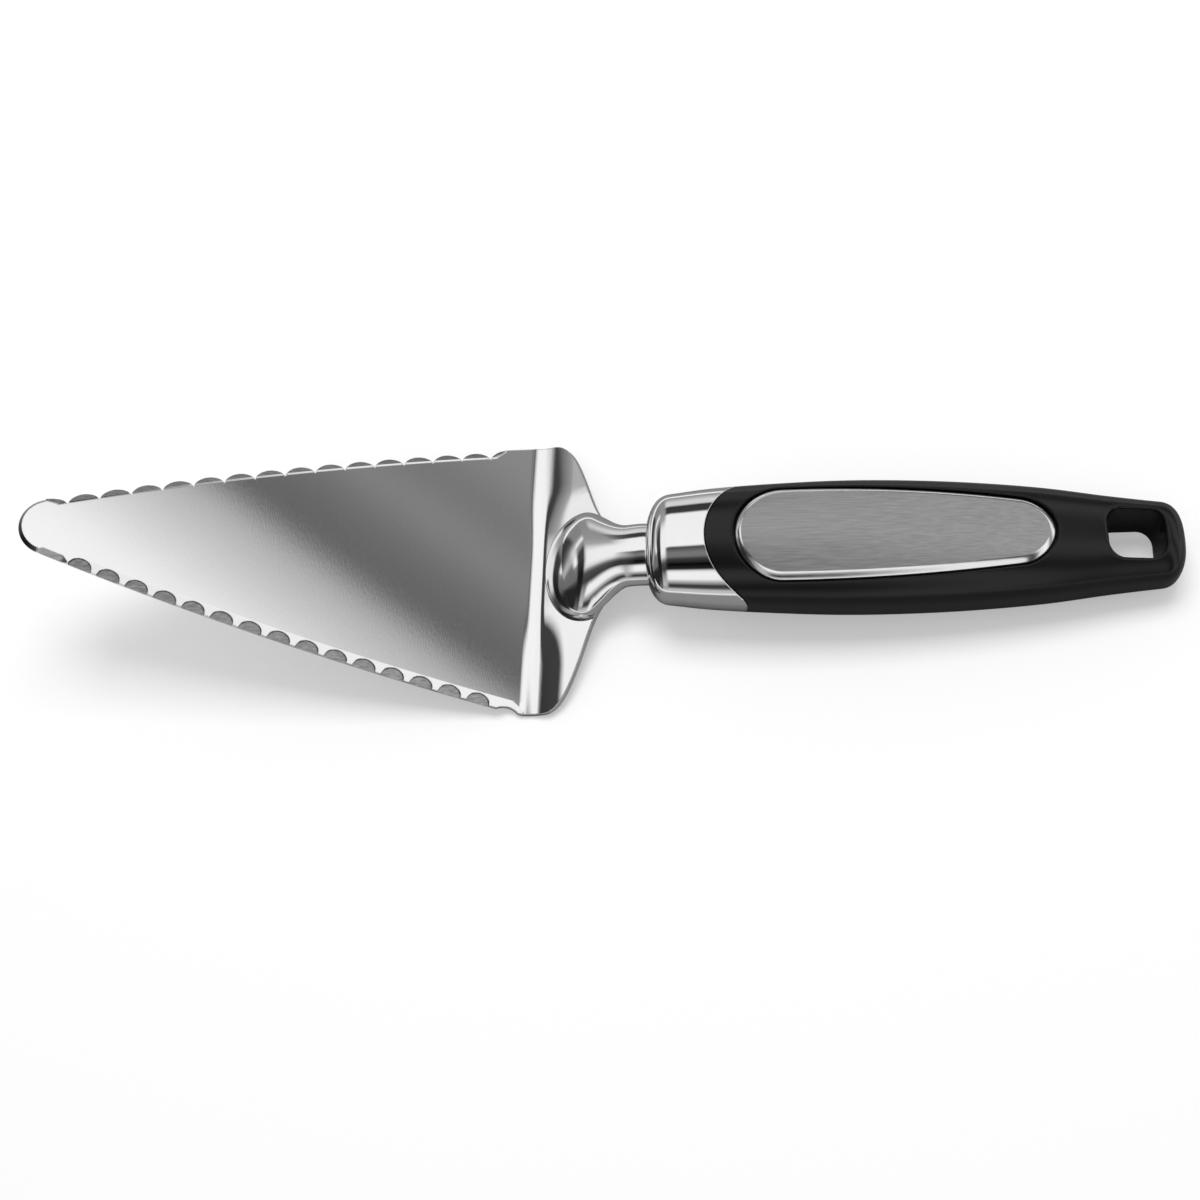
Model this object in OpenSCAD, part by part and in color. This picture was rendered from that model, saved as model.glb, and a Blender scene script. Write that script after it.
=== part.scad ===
// Cake server lying on a table: bent steel blade with two serrated edges, forged neck,
// bright ferrule and a soft black handle with a brushed plate let into its top.
// The blade points to -X, the butt to +X, and the table is the plane of zero height.

/* [Blade] */
// length from the rounded tip to the heel crease
blade_len = 121; // [100:0.5:150]
// width across the heel
heel_w = 71; // [50:0.5:85]
// radius of the rounded tip
tip_r = 7; // [4:0.5:12]
// radius of the slightly bowed long edges
edge_bow_r = 900; // [400:10:2000]
// sheet thickness
sheet_t = 1.2; // [0.8:0.1:2]
// thickness left at the sharp rim
rim_t = 0.25; // [0.1:0.05:0.6]
// tilt of the blade, tip up, when the server lies on a table
blade_tilt = 19.6; // [5:0.1:30]

/* [Serrations] */
// spacing of the rounded lobes along the far edge
lobe_pitch = 7.2; // [4:0.1:10]
// number of notches between the lobes
lobe_notches = 15; // [5:1:20]
// depth of a notch below the lobe crowns
lobe_depth = 2.4; // [1:0.1:4]
// width of the bevel ground along the lobes
lobe_bevel = 1.6; // [0.5:0.1:3]
// distance along the far edge from the tip to the first notch
lobe_start = 4.8; // [2:0.1:20]
// spacing of the hollow scallops along the near edge
scallop_pitch = 6.85; // [4:0.05:10]
// number of hollow scallops
scallop_count = 15; // [5:1:20]
// width of one scallop at the edge
scallop_w = 5.2; // [3:0.1:7]
// reach of one scallop into the blade
scallop_reach = 2.3; // [1:0.1:4]
// distance along the near edge from the tip to the first scallop
scallop_start = 7.9; // [5:0.1:20]
// radius of the open gullet that ends the near edge
gullet_r = 4.2; // [2:0.1:8]
// depth of that gullet
gullet_depth = 1.2; // [0.5:0.1:3]
// width of the plain bevel round the tip
tip_bevel = 1.3; // [0.5:0.1:3]

/* [Shoulder] */
// angle between the blade and the rising shoulder
shoulder_angle = 45; // [30:1:70]
// bend radius of the heel, to the middle of the sheet
bend_r = 6; // [3:0.5:10]
// length of the shoulder up the slope to where the sheet ends under the neck
shoulder_len = 19.5; // [12:0.5:25]
// half width of the sheet where it ends under the neck
shoulder_tail = 10.2; // [6:0.5:14]

/* [Neck] */
// half width of the neck foot on the shoulder
foot_half_w = 13.8; // [8:0.1:18]
// height of the neck foot above the sheet
foot_h = 6.6; // [3:0.1:9]
// distance from the nose of the foot to where it is widest
foot_wide_at = 11; // [8:0.5:13.5]
// distance from the nose of the foot to where it is highest
foot_high_at = 13; // [8:0.5:13.5]
// length over which the foot narrows to the neck
foot_fade = 12; // [6:0.5:13]
// depth to which the sheet is let into the neck foot
foot_sink = 0.4; // [0.2:0.1:1]
// distance from the heel corner to the nose of the foot
foot_nose = 2.9; // [2:0.1:5]
// half width of the neck at the ferrule
neck_half_w = 7.6; // [5:0.1:10]
// half height of the neck at the ferrule
neck_half_h = 4.4; // [3:0.1:7]
// drop of the neck below the middle line of the handle
neck_drop = 2.7; // [0:0.1:5]
// length of neck inside the ferrule
neck_in = 6; // [4:0.5:12]

/* [Handle] */
// length of handle from ferrule front to butt
handle_len = 121.6; // [100:0.1:140]
// greatest half width of the handle
handle_half_w = 15.8; // [12:0.1:20]
// greatest height of the handle top over its middle line
handle_top = 10.6; // [7:0.1:14]
// greatest depth of the handle underside below its middle line
handle_under = 9; // [6:0.1:12]
// forward distance from the heel corner to the ferrule front, along the table
handle_x = 27.4; // [20:0.1:40]
// height of the handle middle line at the ferrule front
handle_z = 14.4; // [8:0.1:25]
// fall of the handle toward the butt
handle_fall = 3.93; // [0:0.01:8]
// length over which the ferrule front is rounded
front_round = 6; // [2:0.5:10]
// length over which the butt is rounded
butt_round = 5.5; // [2:0.5:10]
// distance of the joint nose from the ferrule front
joint_nose = 13.8; // [8:0.1:25]
// radius of the round joint between ferrule and grip, seen from above
joint_r = 16.2; // [12:0.1:25]

/* [Hang hole] */
// length of the hang hole
hole_len = 12.6; // [6:0.1:20]
// width of the hang hole
hole_w = 12; // [6:0.1:18]
// corner radius of the hang hole
hole_r = 3.6; // [1:0.1:6]
// distance from the ferrule front to the front of the hole
hole_at = 103.6; // [90:0.1:110]

/* [Inlay plate] */
// distance from the ferrule front to the plate
inlay_at = 20.6; // [15:0.1:30]
// length of the plate
inlay_len = 71.6; // [50:0.1:80]
// half width of the plate near its front
inlay_front_half = 11.5; // [7:0.1:13]
// half width of the plate at its back, before the end is rounded
inlay_back_half = 7; // [4:0.1:10]
// length over which the front end of the plate is rounded
inlay_front_round = 11; // [5:0.1:14]
// length over which the back end of the plate is rounded
inlay_back_round = 7.5; // [3:0.1:10]
// thickness of the plate
inlay_t = 1.2; // [0.6:0.1:2]
// thickness of the bonding pad under the plate
pad_t = 0.4; // [0.2:0.1:1]
// groove left round the plate
inlay_gap = 0.35; // [0.2:0.05:0.8]
// distance by which the pad stays inside the rim of the plate
pad_inset = 0.7; // [0.3:0.1:2]
// crown radius across the plate
inlay_crown_r = 36; // [20:1:80]
// crown radius along the plate
inlay_arch_r = 520; // [200:10:1500]
// height of the plate crown over the middle line of the handle
inlay_top = 10.75; // [8:0.05:14]

/* [Core and tang] */
// half width of the hard core
core_half_w = 9.5; // [6:0.1:12]
// height of the core over the middle line
core_up = 4.6; // [3:0.1:7]
// depth of the core below the middle line
core_down = 5.6; // [3:0.1:7]
// corner radius of the core
core_r = 2.5; // [1:0.1:4]
// distance from the ferrule front to the end of the core
core_end = 96; // [80:0.5:100]
// width of the tang
tang_w = 10; // [6:0.1:14]
// thickness of the tang
tang_t = 3; // [2:0.1:5]
// distance from the ferrule front to the end of the tang
tang_end = 88; // [60:0.5:95]
// diameter of the two tang pins
pin_d = 3; // [2:0.1:5]
// distance of the first pin from the ferrule front
pin_first = 34; // [28:0.5:50]
// distance between the pins
pin_space = 38; // [20:0.5:50]
// wall of the ferrule at its front
ferrule_wall = 2.4; // [1.5:0.1:4]

/* [Hidden] */
// clearance between parts that are fitted together
fit_gap = 0.3;
// clearance over and under the bonding pad
film_gap = 0.1;
// overrun of every cut past the face it opens
over = 2;
// smoothness of round shapes
round_steps = 96;
long_steps = 720;
// points round one handle section and along the handle
ring_steps = 36;
ferrule_steps = 12;
grip_steps = 22;
// turn between two points of a drawn arc
arc_turn = 9;
// squareness of the handle and neck sections
handle_power = 2.6;
neck_power = 2.2;
end_power = 2.5;
// shares of the greatest half width, top and underside at equal steps along the handle
width_shares = [0.80, 0.905, 0.965, 0.998, 0.985, 0.935, 0.845, 0.705, 0.60];
top_shares = [0.66, 0.83, 0.935, 0.99, 1, 0.97, 0.90, 0.79, 0.71];
under_shares = [0.92, 0.97, 0.99, 0.985, 0.955, 0.90, 0.83, 0.755, 0.71];
// shares of the shoulder length at the two pull points of its outline
corner_share = 0.564;
waist_share = 0.667;
// shares of the heel width at the same two points
corner_w_share = 0.507;
waist_w_share = 0.211;
// share of the shoulder length at which the neck bends away from the sheet
foot_end_share = 0.96;
// places of the sections along the foot of the neck, as shares of its length
foot_run_shares = [0.004, 0.03, 0.07, 0.14, 0.25, 0.4, 0.6, 0.8, 1];
// share of the free neck length that its middle line runs straight on at both ends
pull_share = 0.38;
// how fast the underside of the neck fills out past the sheet
under_power = 0.6;
// share of the plate length where it is widest
inlay_widest_share = 0.22;
// height of the scallop cutter, as a share of the scallop depth, and its run past the edge
scallop_cutter_share = 1.8;
scallop_run_share = 3;
// shift of the gullet circle out from the near edge, as a share of its radius
gullet_shift_share = 0.2;
// where the ferrule body ends and how far the grip is cleared, as shares of the joint radius
ferrule_back_share = 0.16;
grip_cut_share = 0.75;
// sections along the free stretch of the neck
neck_steps = 10;
// points on one lobe, on each plain stretch of the far and near edges, and on the tip
lobe_steps = 8;
far_steps = 5;
near_steps = 3;
tip_steps = 24;
// half of the turn over which the plate is swept along its arch
arch_turn = 6;
bend_set = bend_r * tan(shoulder_angle / 2);
// the blade edge circles touch the tip circle inside
tip_x = tip_r - blade_len;
edge_reach = edge_bow_r - tip_r;
heel_dist = norm([tip_x, heel_w / 2]);
edge_side = (pow(edge_reach, 2) - pow(edge_bow_r, 2) + pow(heel_dist, 2)) / (2 * heel_dist);
edge_up = sqrt(pow(edge_reach, 2) - pow(edge_side, 2));
to_heel = [-tip_x, heel_w / 2] / heel_dist;
edge_cx = tip_x + to_heel[0] * edge_side + to_heel[1] * edge_up;
edge_cy = to_heel[1] * edge_side - to_heel[0] * edge_up;
// direction of the tip end and of the heel end of the far edge, seen from its circle
edge_tip_dir = atan2(-edge_cy, tip_x - edge_cx);
edge_heel_dir = acos((-bend_set - edge_cx) / edge_bow_r);
bend_half = edge_cy + edge_bow_r * sin(edge_heel_dir);
lobe_r = (pow(lobe_pitch / 2, 2) + pow(lobe_depth, 2)) / (2 * lobe_depth);
lobe_turn = lobe_pitch / edge_bow_r * 180 / PI;
scallop_turn = scallop_pitch / edge_bow_r * 180 / PI;
// scallops are cut by leaning round cutters
scallop_deep = sheet_t - rim_t;
scallop_r = (pow(scallop_w / 2, 2) + pow(scallop_deep, 2)) / (2 * scallop_deep);
scallop_lean = atan(scallop_deep / scallop_reach);
deck = sheet_t / 2;
// angle of the handle to the blade
handle_rise = blade_tilt - handle_fall;
joint_x = joint_nose + joint_r;
// lift that sets the outside of the heel bend on the table, and the middle of the whole length
rest_lift = bend_r + deck - bend_r * cos(blade_tilt) - bend_set * sin(blade_tilt);
butt_x = handle_x + handle_len * cos(handle_fall);
rest_mid = (butt_x - blade_len * cos(blade_tilt) - deck * sin(blade_tilt)) / 2;

steel = [0.80, 0.80, 0.82];
black = [0.09, 0.09, 0.10];

// Smooth curve through equally spaced shares
function share_at(s, t) =
    let (n = len(s) - 1)
    let (i = min(n - 1, max(0, floor(t * n))))
    let (f = t * n - i)
    let (a = s[max(0, i - 1)])
    let (b = s[i])
    let (c = s[i + 1])
    let (d = s[min(n, i + 2)])
    b + f * ((c - a) + f * ((2 * a - 5 * b + 4 * c - d) + f * (3 * b - a - 3 * c + d))) / 2;

// rounding factor of the handle ends at distance u
function end_at(u) =
    let (a = max(0, 1 - u / front_round))
    let (b = max(0, 1 - (handle_len - u) / butt_round))
    pow(max(0, 1 - pow(a, end_power)), 1 / end_power)
    * pow(max(0, 1 - pow(b, end_power)), 1 / end_power);

function handle_w(u) = handle_half_w * share_at(width_shares, u / handle_len) * end_at(u);
function handle_up(u) = handle_top * share_at(top_shares, u / handle_len) * end_at(u);
function handle_dn(u) = handle_under * share_at(under_shares, u / handle_len) * end_at(u);

// point of a squarish round section, first across then up
function bow(v, p) = sign(v) * pow(abs(v), 2 / p);
function oval(a, up, dn, p, w) =
    [a * bow(cos(w), p), (sin(w) > 0 ? up : dn) * bow(sin(w), p)];

// closed solid through a list of rings with equal point counts
module loft(rings) {
    n = len(rings[0]);
    m = len(rings);
    points = [for (r = rings) for (p = r) p];
    sides = [
        for (j = [0:m - 2])
            for (i = [0:n - 1])
                for (k = [0, 1])
                    k == 0
                        ? [j * n + i, (j + 1) * n + (i + 1) % n, j * n + (i + 1) % n]
                        : [j * n + i, (j + 1) * n + i, (j + 1) * n + (i + 1) % n]
    ];
    front = [for (i = [0:n - 1]) i];
    back = [for (i = [0:n - 1]) m * n - 1 - i];
    polyhedron(points = points, faces = concat([front], sides, [back]), convexity = 6);
}

// Puts the whole server on the table, centred over the origin
module at_rest() {
    translate([-rest_mid, 0, rest_lift]) children();
}

module in_blade() {
    at_rest() rotate([0, blade_tilt, 0]) children();
}

module in_handle() {
    at_rest() translate([handle_x, 0, handle_z]) rotate([0, handle_fall, 0]) children();
}

// Blade
first_lobe_dir = edge_tip_dir - (lobe_start / edge_bow_r * 180 / PI - lobe_turn / 2);
last_lobe_dir = first_lobe_dir - lobe_notches * lobe_turn;

function on_edge(r, dir) = [edge_cx + r * cos(dir), edge_cy + r * sin(dir)];
function flip(list) = [for (i = [len(list) - 1:-1:0]) [list[i][0], -list[i][1]]];

// one lobe crown, from the notch nearer the tip to the notch nearer the heel
lobe_half = asin(lobe_pitch / 2 / lobe_r);
function lobe_points(dir, from, to) = [
    for (k = [1:lobe_steps])
        let (w = from + (to - from) * k / lobe_steps)
        on_edge(edge_bow_r - lobe_r, dir) + lobe_r * [cos(dir + w), sin(dir + w)]
];

to_lobes = first_lobe_dir - edge_tip_dir;
past_lobes = edge_heel_dir - last_lobe_dir;
far_points = concat(
    [for (k = [0:far_steps]) on_edge(edge_bow_r, edge_tip_dir + to_lobes * k / far_steps)],
    lobe_points(first_lobe_dir, 0, -lobe_half),
    [
        for (i = [1:lobe_notches - 1])
            each lobe_points(first_lobe_dir - i * lobe_turn, lobe_half, -lobe_half)
    ],
    lobe_points(last_lobe_dir, lobe_half, 0),
    [for (k = [1:far_steps]) on_edge(edge_bow_r, last_lobe_dir + past_lobes * k / far_steps)]
);
// the near edge runs straight across each scallop and turns a little on the flats between them
first_scallop_dir = edge_tip_dir - scallop_start / edge_bow_r * 180 / PI;
half_flat = (scallop_turn - scallop_w / edge_bow_r * 180 / PI) / 2;
to_scallops = first_scallop_dir + half_flat - edge_tip_dir;
near_points = concat(
    [for (k = [0:near_steps - 1]) on_edge(edge_bow_r, edge_tip_dir + to_scallops * k / near_steps)],
    [for (k = [0:scallop_count]) on_edge(edge_bow_r, first_scallop_dir + half_flat - k * scallop_turn)],
    [on_edge(edge_bow_r, edge_heel_dir)]
);
tip_sweep = 360 - 2 * edge_tip_dir;
tip_arc = [
    for (k = [1:tip_steps - 1])
        let (w = -edge_tip_dir - tip_sweep * k / tip_steps)
        [tip_x + tip_r * cos(w), tip_r * sin(w)]
];

module blade_outline() {
    polygon(concat(far_points, flip(near_points), tip_arc));
}

// ring-shaped cutter that grinds a bevel of the given width on a round edge
module bevel_ring(r, width, turn) {
    rise = sheet_t - rim_t;
    rotate_extrude(angle = turn, $fn = long_steps)
        polygon([
            [r - width, deck],
            [r + over, deck - rise * (width + over) / width],
            [r + over, deck + over],
            [r - width, deck + over]
        ]);
}

// leaning cutter with a round underside that hollows one scallop, narrow enough to miss the next one
module scallop(turn) {
    cutter_h = scallop_cutter_share * scallop_deep;
    cutter_run = over + scallop_run_share * scallop_reach;
    translate([edge_cx, -edge_cy, 0]) rotate([0, 0, turn])
        translate([edge_bow_r - scallop_reach, 0, deck]) rotate([0, 90 + scallop_lean, 0])
            translate([-scallop_r, 0, -over]) linear_extrude(height = cutter_run)
                intersection() {
                    circle(r = scallop_r, $fn = round_steps);
                    translate([scallop_r - cutter_h, -scallop_r]) square([2 * cutter_h, 2 * scallop_r]);
                }
}

module shoulder_outline() {
    steps = 16;
    p = [
        [bend_set, bend_half],
        [shoulder_len * corner_share, heel_w * corner_w_share],
        [shoulder_len * waist_share, heel_w * waist_w_share],
        [shoulder_len, shoulder_tail]
    ];
    side = [
        for (i = [0:steps])
            let (t = i / steps)
            let (b = 1 - t)
            pow(b, 3) * p[0] + 3 * t * b * b * p[1] + 3 * t * t * b * p[2] + pow(t, 3) * p[3]
    ];
    other = [for (i = [0:steps]) [side[steps - i][0], -side[steps - i][1]]];
    polygon(concat(side, other));
}

// flat sheet with the round rim of its tip bevelled
module tip_ground() {
    difference() {
        translate([0, 0, -deck]) linear_extrude(height = sheet_t) blade_outline();
        translate([tip_x, 0, 0]) rotate([0, 0, edge_tip_dir])
            bevel_ring(tip_r, tip_bevel, tip_sweep);
    }
}

// the same with the plain part of its near edge bevelled up to the first scallop
module near_ground() {
    difference() {
        tip_ground();
        translate([edge_cx, -edge_cy, 0]) rotate([0, 0, -edge_tip_dir])
            bevel_ring(edge_bow_r, tip_bevel, edge_tip_dir - first_scallop_dir - half_flat / 2);
    }
}

gullet_y = gullet_depth + gullet_r * (gullet_shift_share - 1) - heel_w / 2;

module blade() {
    color(steel) in_blade() {
        difference() {
            near_ground();
            translate([edge_cx, edge_cy, 0]) rotate([0, 0, last_lobe_dir])
                bevel_ring(edge_bow_r, lobe_bevel, edge_tip_dir - last_lobe_dir);
            for (i = [0:scallop_count - 1])
                scallop(-first_scallop_dir - half_flat + (i + 0.5) * scallop_turn);
            translate([-bend_set - gullet_r, gullet_y, -over])
                cylinder(r = gullet_r, h = 2 * over, $fn = round_steps);
        }
        heel_bend();
        rotate([0, -shoulder_angle, 0]) translate([0, 0, -deck])
            linear_extrude(height = sheet_t) shoulder_outline();
    }
}

// bent strip between blade and shoulder, drawn from the side
module heel_bend() {
    steps = 10;
    rotate([90, 0, 0]) linear_extrude(height = 2 * bend_half, center = true)
        polygon(concat(
            [for (k = [0:steps]) bend_point(bend_r + deck, shoulder_angle * k / steps)],
            [for (k = [steps:-1:0]) bend_point(bend_r - deck, shoulder_angle * k / steps)]
        ));
}

function bend_point(r, w) = [r * sin(w) - bend_set, bend_r - r * cos(w)];

// Neck
// middle line of the neck in the blade frame, as [x, z]
slope_dir = [cos(shoulder_angle), sin(shoulder_angle)];
slope_up = [-sin(shoulder_angle), cos(shoulder_angle)];
foot_end = shoulder_len * foot_end_share;
foot_run = foot_end - foot_nose;
foot_lift = deck - foot_sink;
foot_top = foot_end * slope_dir + foot_lift * slope_up;
front_far = norm([handle_x, handle_z]);
front_dir = atan2(handle_z, handle_x) + blade_tilt;
handle_front = front_far * [cos(front_dir), sin(front_dir)];
axis_dir = [cos(handle_rise), sin(handle_rise)];
axis_up = [-sin(handle_rise), cos(handle_rise)];
neck_end = handle_front - neck_drop * axis_up;
neck_run = norm(neck_end - foot_top);
pull = neck_run * pull_share;

function neck_mid(t) =
    pow(1 - t, 3) * foot_top
    + 3 * t * pow(1 - t, 2) * (foot_top + pull * slope_dir)
    + 3 * t * t * (1 - t) * (neck_end - pull * axis_dir)
    + pow(t, 3) * neck_end;
function neck_tilt(t) = shoulder_angle + (handle_rise - shoulder_angle) * t * t * (3 - 2 * t);

// ring of the neck: middle point, tilt, half width, height over and depth under
function neck_ring(mid, tilt, a, up, dn) = [
    for (i = [0:ring_steps - 1])
        let (p = oval(a, up, dn, neck_power, i * 360 / ring_steps))
        [mid[0] - sin(tilt) * p[1], p[0], mid[1] + cos(tilt) * p[1]]
];

// rounded rise of the foot over the run up to high, and its fall after that
function rise(q, run) = sqrt(1 - pow(1 - min(1, q / run), 2));
function fall(q, run) = (1 + cos(180 * min(1, max(0, q - run) / foot_fade))) / 2;

// half width and height of the neck at distance q from the nose of the foot
function neck_w(q) =
    q < foot_wide_at
        ? foot_half_w * rise(q, foot_wide_at)
        : neck_half_w + (foot_half_w - neck_half_w) * fall(q, foot_wide_at);
function neck_up(q) =
    q < foot_high_at
        ? (foot_sink + foot_h) * rise(q, foot_high_at)
        : neck_half_h + (foot_sink + foot_h - neck_half_h) * fall(q, foot_high_at);

module neck() {
    foot = [
        for (share = foot_run_shares)
            let (q = foot_run * share)
            let (mid = (foot_nose + q) * slope_dir + foot_lift * slope_up)
            neck_ring(mid, shoulder_angle, neck_w(q), neck_up(q), sheet_t)
    ];
    free = [
        for (i = [1:neck_steps])
            let (t = i / neck_steps)
            let (q = foot_run + neck_run * t)
            let (filled = pow(t * t * (3 - 2 * t), under_power))
            let (down = sheet_t + (neck_half_h - sheet_t) * filled)
            neck_ring(neck_mid(t), neck_tilt(t), neck_w(q), neck_up(q), down)
    ];
    last = neck_end + neck_in * axis_dir;
    inner = [neck_ring(last, handle_rise, neck_half_w, neck_half_h, neck_half_h)];
    color(steel) in_blade() difference() {
        loft(concat(foot, free, inner));
        rotate([0, -shoulder_angle, 0]) translate([0, -heel_w / 2, -foot_h])
            cube([shoulder_len, heel_w, foot_h + deck]);
    }
}

// rectangle between two corners with rounded corners
module round_rect(low, high, r) {
    a = low + [r, r];
    b = high - [r, r];
    corners = [b, [a[0], b[1]], a, [b[0], a[1]]];
    polygon([
        for (c = [0:3])
            for (w = [0:arc_turn * 2:90])
                corners[c] + r * [cos(w + 90 * c), sin(w + 90 * c)]
    ]);
}

// Handle pieces, in the frame of the handle: u along, v across, up
module handle_body(from, to, steps) {
    rings = [
        for (j = [0:steps])
            let (q = j / steps)
            let (ease = (1 - cos(q * 180)) / 2)
            let (u = from + (to - from) * ease)
            [
                for (i = [0:ring_steps - 1])
                    let (turn = i * 360 / ring_steps)
                    let (p = oval(handle_w(u), handle_up(u), handle_dn(u), handle_power, turn))
                    [u, p[0], p[1]]
            ]
    ];
    loft(rings);
}

// upright disc that shapes the joint, as seen from above
module joint_disc(gap) {
    translate([joint_x, 0, -2 * handle_top])
        cylinder(r = joint_r - gap, h = 4 * handle_top, $fn = round_steps);
}

module core_bar(from, to, gap) {
    translate([from, 0, 0]) rotate([90, 0, 90]) linear_extrude(height = to - from)
        round_rect([-core_half_w - gap, -core_down - gap], [core_half_w + gap, core_up + gap], core_r);
}

module tang_bar(from, to, gap) {
    translate([from, -tang_w / 2 - gap, -neck_drop - tang_t / 2 - gap])
        cube([to - from, tang_w + 2 * gap, tang_t + 2 * gap]);
}

module pin_rods(d, low, high) {
    for (k = [0, 1])
        translate([pin_first + k * pin_space, 0, low])
            cylinder(d = d, h = high - low, $fn = round_steps);
}

module tang() {
    color(steel) in_handle() difference() {
        tang_bar(neck_in, tang_end, 0);
        pin_rods(pin_d + 2 * fit_gap, -handle_under, handle_top);
    }
}

module tang_pins() {
    color(steel) in_handle() pin_rods(pin_d, -core_down + fit_gap, core_up - fit_gap);
}

module ferrule() {
    color(steel) in_handle() difference() {
        handle_body(0, joint_x - joint_r * ferrule_back_share, ferrule_steps);
        joint_disc(0);
        core_bar(ferrule_wall, joint_x, fit_gap);
        translate([-over, 0, -neck_drop]) rotate([90, 0, 90])
            linear_extrude(height = over + neck_in + fit_gap) neck_opening();
    }
}

module neck_opening() {
    a = neck_half_w + fit_gap;
    b = neck_half_h + fit_gap;
    polygon([for (i = [0:ring_steps - 1]) oval(a, b, b, neck_power, i * 360 / ring_steps)]);
}

module core() {
    color(black) in_handle() difference() {
        core_bar(neck_in + fit_gap, core_end, 0);
        tang_bar(neck_in - over, tang_end + fit_gap, fit_gap);
        pin_rods(pin_d + 2 * fit_gap, -handle_under, handle_top);
    }
}

// half width of the plate outline at distance q from its front end
function inlay_half(q) =
    let (a = max(0, 1 - q / inlay_front_round))
    let (b = max(0, 1 - (inlay_len - q) / inlay_back_round))
    let (swell = pow((q / inlay_len - inlay_widest_share) / (1 - inlay_widest_share), 2))
    (inlay_front_half - (inlay_front_half - inlay_back_half) * swell)
    * sqrt(max(0, 1 - a * a)) * sqrt(max(0, 1 - b * b));

module inlay_shape(grow) {
    steps = 26;
    side = [
        for (i = [0:steps])
            let (q = inlay_len * (1 - cos(180 * i / steps)) / 2)
            [inlay_at + q + grow * (2 * q / inlay_len - 1), inlay_half(q) + grow * sin(180 * i / steps)]
    ];
    polygon(concat(side, [for (i = [steps - 1:-1:1]) [side[i][0], -side[i][1]]]));
}

// crowned layer between two heights measured from the plate crown
module inlay_layer(low, high, grow) {
    mid = inlay_at + inlay_len / 2;
    crown_x = inlay_arch_r - inlay_crown_r;
    intersection() {
        linear_extrude(height = handle_top + over) inlay_shape(grow);
        translate([mid, 0, inlay_top - inlay_arch_r]) rotate([90, 0, 0])
            rotate([0, 0, 90 - arch_turn]) rotate_extrude(angle = 2 * arch_turn, $fn = long_steps)
                translate([crown_x, 0]) intersection() {
                    difference() {
                        circle(r = inlay_crown_r + high, $fn = long_steps);
                        circle(r = inlay_crown_r + low, $fn = long_steps);
                    }
                    translate([0, -inlay_crown_r]) square([2 * inlay_crown_r, 2 * inlay_crown_r]);
                }
    }
}

module inlay_plate() {
    color(steel) in_handle() inlay_layer(-inlay_t, 0, 0);
}

module inlay_pad() {
    color(black) in_handle() inlay_layer(-inlay_t - pad_t - film_gap, -inlay_t - film_gap, -pad_inset);
}

module grip() {
    color(black) in_handle() difference() {
        handle_body(joint_nose - over, handle_len, grip_steps);
        difference() {
            translate([joint_nose - 2 * over, -handle_half_w - over, -2 * handle_top])
                cube([joint_r * grip_cut_share + 2 * over, 2 * (handle_half_w + over), 4 * handle_top]);
            joint_disc(fit_gap);
        }
        core_bar(joint_nose - over, core_end + fit_gap, fit_gap);
        inlay_layer(-inlay_t - pad_t - 2 * film_gap, over, inlay_gap);
        translate([0, 0, -2 * handle_top]) linear_extrude(height = 4 * handle_top)
            round_rect([hole_at, -hole_w / 2], [hole_at + hole_len, hole_w / 2], hole_r);
    }
}

blade();
neck();
tang();
tang_pins();
ferrule();
core();
grip();
inlay_pad();
inlay_plate();
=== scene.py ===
"""Looks of the cake server: its meshes, metals and black grip, floor, light and camera."""

import math

import bmesh
import bpy
from mathutils import Matrix, Vector


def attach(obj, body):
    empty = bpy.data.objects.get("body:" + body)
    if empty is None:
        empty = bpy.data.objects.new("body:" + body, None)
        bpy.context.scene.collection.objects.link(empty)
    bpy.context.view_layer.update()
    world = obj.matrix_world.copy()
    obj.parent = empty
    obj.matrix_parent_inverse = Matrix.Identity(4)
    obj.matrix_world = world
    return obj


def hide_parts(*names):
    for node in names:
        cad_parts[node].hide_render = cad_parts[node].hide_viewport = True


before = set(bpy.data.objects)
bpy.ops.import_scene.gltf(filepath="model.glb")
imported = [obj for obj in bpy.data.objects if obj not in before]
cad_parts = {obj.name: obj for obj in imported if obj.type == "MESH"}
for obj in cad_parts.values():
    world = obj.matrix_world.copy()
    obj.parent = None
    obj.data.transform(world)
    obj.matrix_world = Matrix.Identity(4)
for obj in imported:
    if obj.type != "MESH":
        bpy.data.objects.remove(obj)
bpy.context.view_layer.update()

MM = 0.001

# sizes in millimetres, the same as in the part's source
BLADE_LEN, HEEL_W, TIP_R, BOW_R = 121.0, 71.0, 7.0, 900.0
SHEET_T, RIM_T, BLADE_TILT = 1.2, 0.25, 19.6
LOBE_PITCH, LOBE_NOTCHES, LOBE_DEPTH, LOBE_START = 7.2, 15, 2.4, 4.8
SCALLOP_PITCH, SCALLOP_COUNT, SCALLOP_START = 6.85, 15, 7.9
SCALLOP_W, SCALLOP_REACH = 5.2, 2.3
GULLET_R, GULLET_DEPTH, TIP_BEVEL = 4.2, 1.2, 1.3
SHOULDER_ANGLE, BEND_R, SHOULDER_LEN, SHOULDER_TAIL = 45.0, 6.0, 19.5, 10.2
FOOT_HALF_W, FOOT_H, FOOT_SINK, FOOT_NOSE = 13.8, 6.6, 0.4, 2.9
FOOT_WIDE_AT, FOOT_HIGH_AT, FOOT_FADE, FOOT_END_SHARE = 11.0, 13.0, 12.0, 0.96
NECK_HALF_W, NECK_HALF_H, NECK_DROP, NECK_IN = 7.6, 4.4, 2.7, 6.0
HANDLE_LEN, HANDLE_HALF_W, HANDLE_TOP, HANDLE_UNDER = 121.6, 15.8, 10.6, 9.0
HANDLE_X, HANDLE_Z, HANDLE_FALL = 27.4, 14.4, 3.93
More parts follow.
